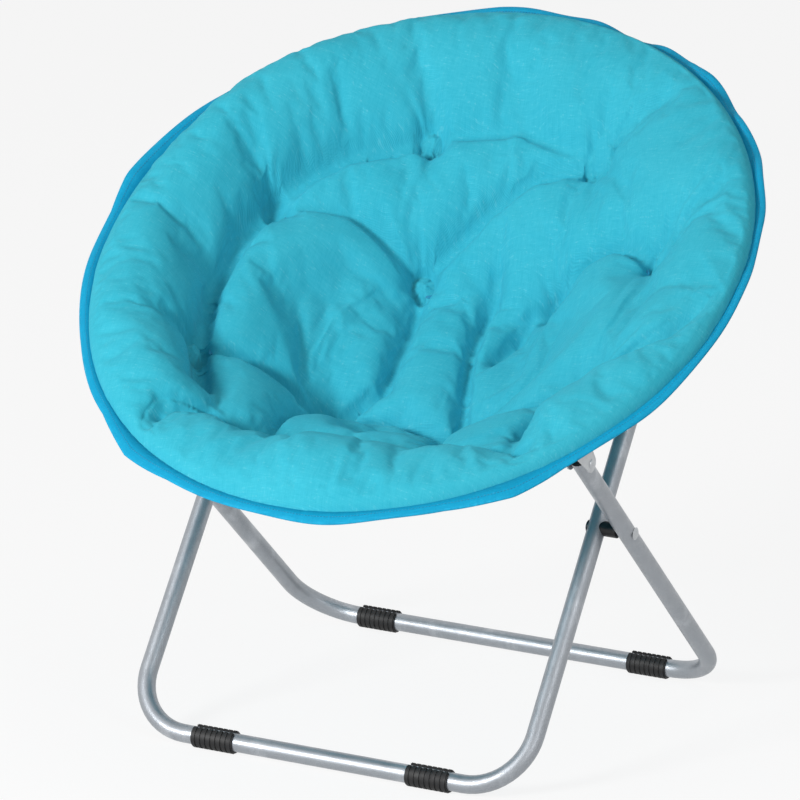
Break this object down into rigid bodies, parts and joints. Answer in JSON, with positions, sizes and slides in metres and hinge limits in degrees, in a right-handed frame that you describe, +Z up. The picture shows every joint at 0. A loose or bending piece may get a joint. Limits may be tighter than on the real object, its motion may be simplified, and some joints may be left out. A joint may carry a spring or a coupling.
{
  "type": "folding saucer chair",
  "caption": "Folding saucer chair: a round padded dish on a tilted tube ring hinged across its middle, carried by two crossed U-shaped tube leg frames.",
  "frame": {"origin": "on the floor, under the middle of the seat ring", "axes": "+X to the sitter's left, along the base bars and the hinge pins; +Y to the rear, where the ring is high; +Z up"},
  "size_m": [0.8328, 0.706, 0.7896],
  "materials": {
    "seat_fabric": "matte turquoise cotton-look woven cover over soft filling",
    "binding_tape": "darker blue woven edge binding",
    "under_panel_cloth": "plain turquoise woven cloth",
    "sewing_thread": "matte polyester thread",
    "leg_paint": "silver-grey powder coat, satin",
    "ring_paint": "silver-grey powder coat, satin",
    "zinc_plate": "bright zinc plate, pressed and riveted",
    "foot_rubber": "matte black rubber with moulded ribs",
    "black_plastic": "matte black moulded plastic"
  },
  "bodies": {
    "front_leg_frame": {"front_leg_tube": "leg_paint", "front_leg_foot_left": "foot_rubber", "front_leg_foot_right": "foot_rubber", "front_leg_plug_left": "black_plastic", "front_leg_plug_right": "black_plastic", "leg_spacer_left": "black_plastic", "leg_spacer_right": "black_plastic", "leg_pivot_rivet_left": "zinc_plate", "leg_pivot_rivet_right": "zinc_plate"},
    "rear_leg_frame": {"rear_leg_tube": "leg_paint", "rear_leg_foot_left": "foot_rubber", "rear_leg_foot_right": "foot_rubber", "rear_leg_plug_left": "black_plastic", "rear_leg_plug_right": "black_plastic"},
    "ring_front_half": {"ring_front_tube": "ring_paint", "front_bracket_rivets": "zinc_plate", "front_bracket_left": "zinc_plate", "front_bracket_right": "zinc_plate", "front_bracket_pin_left": "zinc_plate", "front_bracket_pin_right": "zinc_plate", "hinge_tongue_left": "zinc_plate", "hinge_tongue_right": "zinc_plate", "seat_pad_front": "seat_fabric", "seat_under_panel_front": "under_panel_cloth", "seat_binding_front": "binding_tape", "seat_tacks_front": "sewing_thread"},
    "ring_rear_half": {"ring_rear_tube": "ring_paint", "rear_bracket_rivets": "zinc_plate", "rear_bracket_left": "zinc_plate", "rear_bracket_right": "zinc_plate", "rear_bracket_pin_left": "zinc_plate", "rear_bracket_pin_right": "zinc_plate", "hinge_clevis_left": "zinc_plate", "hinge_clevis_right": "zinc_plate", "hinge_pin_left": "zinc_plate", "hinge_pin_right": "zinc_plate", "seat_pad_rear": "seat_fabric", "seat_under_panel_rear": "under_panel_cloth", "seat_binding_rear": "binding_tape", "seat_tacks_rear": "sewing_thread"}
  },
  "joints": [
    {"name": "leg_fold", "type": "hinge", "parent": "front_leg_frame", "child": "rear_leg_frame", "pos_m": [0, -0.0361, 0.281], "axis": [-1, 0, 0], "range_deg": [0, 80]},
    {"name": "front_ring_tilt", "type": "hinge", "parent": "rear_leg_frame", "child": "ring_front_half", "pos_m": [0, -0.17038, 0.40297], "axis": [-1, 0, 0], "range_deg": [0, 13.28]},
    {"name": "ring_fold", "type": "hinge", "parent": "ring_front_half", "child": "ring_rear_half", "pos_m": [0, -0.0678, 0.52369], "axis": [1, 0, 0], "range_deg": [0, 140.78], "deforming": ["seat_pad_front", "seat_pad_rear", "seat_under_panel_front", "seat_under_panel_rear", "seat_binding_front", "seat_binding_rear", "seat_tacks_front", "seat_tacks_rear"]}
  ],
  "couplings": [
    {"joint": "front_ring_tilt", "follows": "leg_fold", "ratio": 0.16587},
    {"joint": "ring_fold", "follows": "leg_fold", "ratio": 1.7597}
  ]
}
